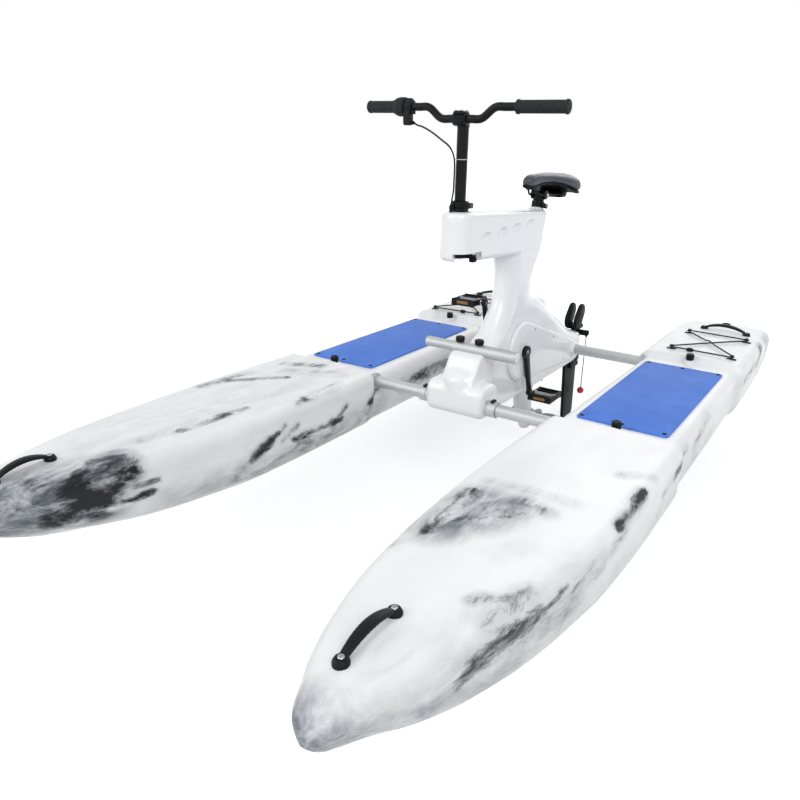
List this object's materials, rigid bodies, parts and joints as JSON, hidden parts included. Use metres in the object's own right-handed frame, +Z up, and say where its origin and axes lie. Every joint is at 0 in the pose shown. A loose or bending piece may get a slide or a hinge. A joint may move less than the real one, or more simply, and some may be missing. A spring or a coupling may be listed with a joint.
{
  "type": "water bike",
  "caption": "Twin-float pedal boat: two hollow floats on cross tubes carry a centre drive unit with saddle, handlebar, cranks, propeller leg and kick-up rudder.",
  "frame": {"origin": "under the middle of the boat, level with the tip of the lowered rudder", "axes": "+X to port, -Y forward to the bows, +Z up"},
  "size_m": [1.4394, 2.9, 1.2761],
  "materials": {
    "float_shell": "rotomoulded polyethylene, white with blue-grey marbling, satin",
    "housing_shell": "white moulded shell, gloss",
    "pad_foam": "blue closed-cell foam, fine matt texture",
    "satin_aluminium": "anodised tube, satin",
    "steel": "turned stainless steel",
    "grey_casting": "grey coated casting, satin",
    "black_plastic": "black moulded plastic, satin",
    "black_paint": "black paint, semi-gloss",
    "rubber": "black rubber, matt",
    "saddle_cover": "black vinyl cover over foam, soft sheen",
    "cord": "black woven cover",
    "red_plastic": "red ball, gloss"
  },
  "bodies": {
    "boat": {"hull_port": "float_shell", "hull_starboard": "float_shell", "deck_pad_port": "pad_foam", "deck_pad_starboard": "pad_foam", "bow_handle_port": "black_plastic", "bow_handle_starboard": "black_plastic", "stern_handle_port": "black_plastic", "stern_handle_starboard": "black_plastic", "lashing_cord_port": "cord", "lashing_cord_starboard": "cord", "drain_plug_port": "black_plastic", "drain_plug_starboard": "black_plastic", "front_tube": "satin_aluminium", "rear_tube": "satin_aluminium", "centre_housing": "housing_shell", "drive_cover_port": "housing_shell", "drive_cover_starboard": "housing_shell", "foot_bar_sleeve": "satin_aluminium", "drive_belt": "rubber", "gear_bracket": "grey_casting", "drive_leg": "grey_casting", "seat_collar": "black_paint"},
    "foot_bar": {"foot_bar_tube": "satin_aluminium"},
    "crank": {"crank_axle": "steel", "crank_pulley": "grey_casting", "crank_arm_port": "black_paint", "crank_arm_starboard": "black_paint"},
    "pedal_port": {"pedal_port": "black_plastic"},
    "pedal_starboard": {"pedal_starboard": "black_plastic"},
    "jackshaft": {"jackshaft": "steel", "upper_bevel_wheel": "steel"},
    "leg_shaft": {"leg_shaft": "steel", "upper_bevel_pinion": "steel", "lower_bevel_wheel": "steel"},
    "screw": {"propeller_shaft": "steel", "propeller": "grey_casting", "lower_bevel_pinion": "steel"},
    "steering": {"steerer": "black_paint", "handlepost": "black_paint", "post_collar": "black_paint", "handlebar": "black_paint", "grip_port": "rubber", "grip_starboard": "rubber", "shifter_body": "black_plastic", "shift_cable": "cord", "steering_arm": "black_plastic"},
    "post_lever": {"post_lever": "black_paint"},
    "shifter_ring": {"shifter_ring": "rubber"},
    "seat": {"seatpost": "black_paint", "saddle": "saddle_cover"},
    "seat_lever": {"seat_lever": "black_paint"},
    "rudder": {"rudder_head": "black_plastic", "rudder_uphaul": "red_plastic"},
    "blade": {"rudder_blade": "black_plastic"},
    "deck_knob_front_port": {"deck_knob_front_port": "black_plastic"},
    "deck_knob_front_starboard": {"deck_knob_front_starboard": "black_plastic"},
    "deck_knob_rear_port": {"deck_knob_rear_port": "black_plastic"},
    "deck_knob_rear_starboard": {"deck_knob_rear_starboard": "black_plastic"},
    "foot_bar_knob_port": {"foot_bar_knob_port": "black_plastic"},
    "foot_bar_knob_starboard": {"foot_bar_knob_starboard": "black_plastic"}
  },
  "joints": [
    {"name": "crank_spin", "type": "hinge", "parent": "boat", "child": "crank", "pos_m": [0, 0.217, 0.466], "axis": [1, 0, 0], "continuous": true},
    {"name": "pedal_port_spin", "type": "hinge", "parent": "crank", "child": "pedal_port", "pos_m": [0.136, 0.2667, 0.3034], "axis": [1, 0, 0], "continuous": true},
    {"name": "pedal_starboard_spin", "type": "hinge", "parent": "crank", "child": "pedal_starboard", "pos_m": [-0.136, 0.1673, 0.6286], "axis": [1, 0, 0], "continuous": true},
    {"name": "jackshaft_spin", "type": "hinge", "parent": "boat", "child": "jackshaft", "pos_m": [0, 0.425, 0.4], "axis": [1, 0, 0], "continuous": true},
    {"name": "leg_shaft_spin", "type": "hinge", "parent": "boat", "child": "leg_shaft", "pos_m": [0, 0.425, 0.118], "axis": [0, 0, 1], "continuous": true},
    {"name": "propeller_spin", "type": "hinge", "parent": "boat", "child": "screw", "pos_m": [0, 0.526, 0.118], "axis": [0, 1, 0], "continuous": true},
    {"name": "steering_turn", "type": "hinge", "parent": "boat", "child": "steering", "pos_m": [0, -0.163, 0.99], "axis": [0, 0, 1], "range_deg": [-35, 35]},
    {"name": "post_lever_swing", "type": "hinge", "parent": "steering", "child": "post_lever", "pos_m": [0.0185, -0.13, 0.9835], "axis": [0, 0, 1], "range_deg": [0, 100]},
    {"name": "shift_twist", "type": "hinge", "parent": "steering", "child": "shifter_ring", "pos_m": [-0.2017, -0.1775, 1.25], "axis": [1, 0, 0], "range_deg": [-40, 40]},
    {"name": "saddle_height", "type": "slide", "parent": "boat", "child": "seat", "axis": [0, 0.2588, 0.9659], "range_m": [0, 0.1]},
    {"name": "seat_lever_swing", "type": "hinge", "parent": "boat", "child": "seat_lever", "pos_m": [0.0185, 0.4069, 0.9435], "axis": [0, 0.2588, 0.9659], "range_deg": [0, 100]},
    {"name": "foot_bar_slide", "type": "slide", "parent": "boat", "child": "foot_bar", "axis": [-1, 0, 0], "range_m": [0, 0.05]},
    {"name": "rudder_turn", "type": "hinge", "parent": "boat", "child": "rudder", "pos_m": [0, 0.845, 0.286], "axis": [0, 0, 1], "range_deg": [-35, 35]},
    {"name": "rudder_kick", "type": "hinge", "parent": "rudder", "child": "blade", "pos_m": [0, 0.88, 0.262], "axis": [1, 0, 0], "range_deg": [0, 80]},
    {"name": "deck_knob_front_port_turn", "type": "hinge", "parent": "boat", "child": "deck_knob_front_port", "pos_m": [0.518, -0.116, 0.3993], "axis": [0, 0, 1], "continuous": true},
    {"name": "deck_knob_front_starboard_turn", "type": "hinge", "parent": "boat", "child": "deck_knob_front_starboard", "pos_m": [-0.518, -0.116, 0.3993], "axis": [0, 0, 1], "continuous": true},
    {"name": "deck_knob_rear_port_turn", "type": "hinge", "parent": "boat", "child": "deck_knob_rear_port", "pos_m": [0.518, 0.69, 0.4047], "axis": [0, 0, 1], "continuous": true},
    {"name": "deck_knob_rear_starboard_turn", "type": "hinge", "parent": "boat", "child": "deck_knob_rear_starboard", "pos_m": [-0.518, 0.69, 0.4047], "axis": [0, 0, 1], "continuous": true},
    {"name": "foot_bar_knob_port_turn", "type": "hinge", "parent": "boat", "child": "foot_bar_knob_port", "pos_m": [0.03, -0.052, 0.5472], "axis": [0, 0, 1], "continuous": true},
    {"name": "foot_bar_knob_starboard_turn", "type": "hinge", "parent": "boat", "child": "foot_bar_knob_starboard", "pos_m": [-0.04, -0.052, 0.5472], "axis": [0, 0, 1], "continuous": true}
  ],
  "couplings": [
    {"joint": "jackshaft_spin", "follows": "crank_spin", "ratio": 2.6667},
    {"joint": "leg_shaft_spin", "follows": "crank_spin", "ratio": 5.3333},
    {"joint": "propeller_spin", "follows": "crank_spin", "ratio": -8},
    {"joint": "rudder_turn", "follows": "steering_turn", "ratio": -1}
  ]
}
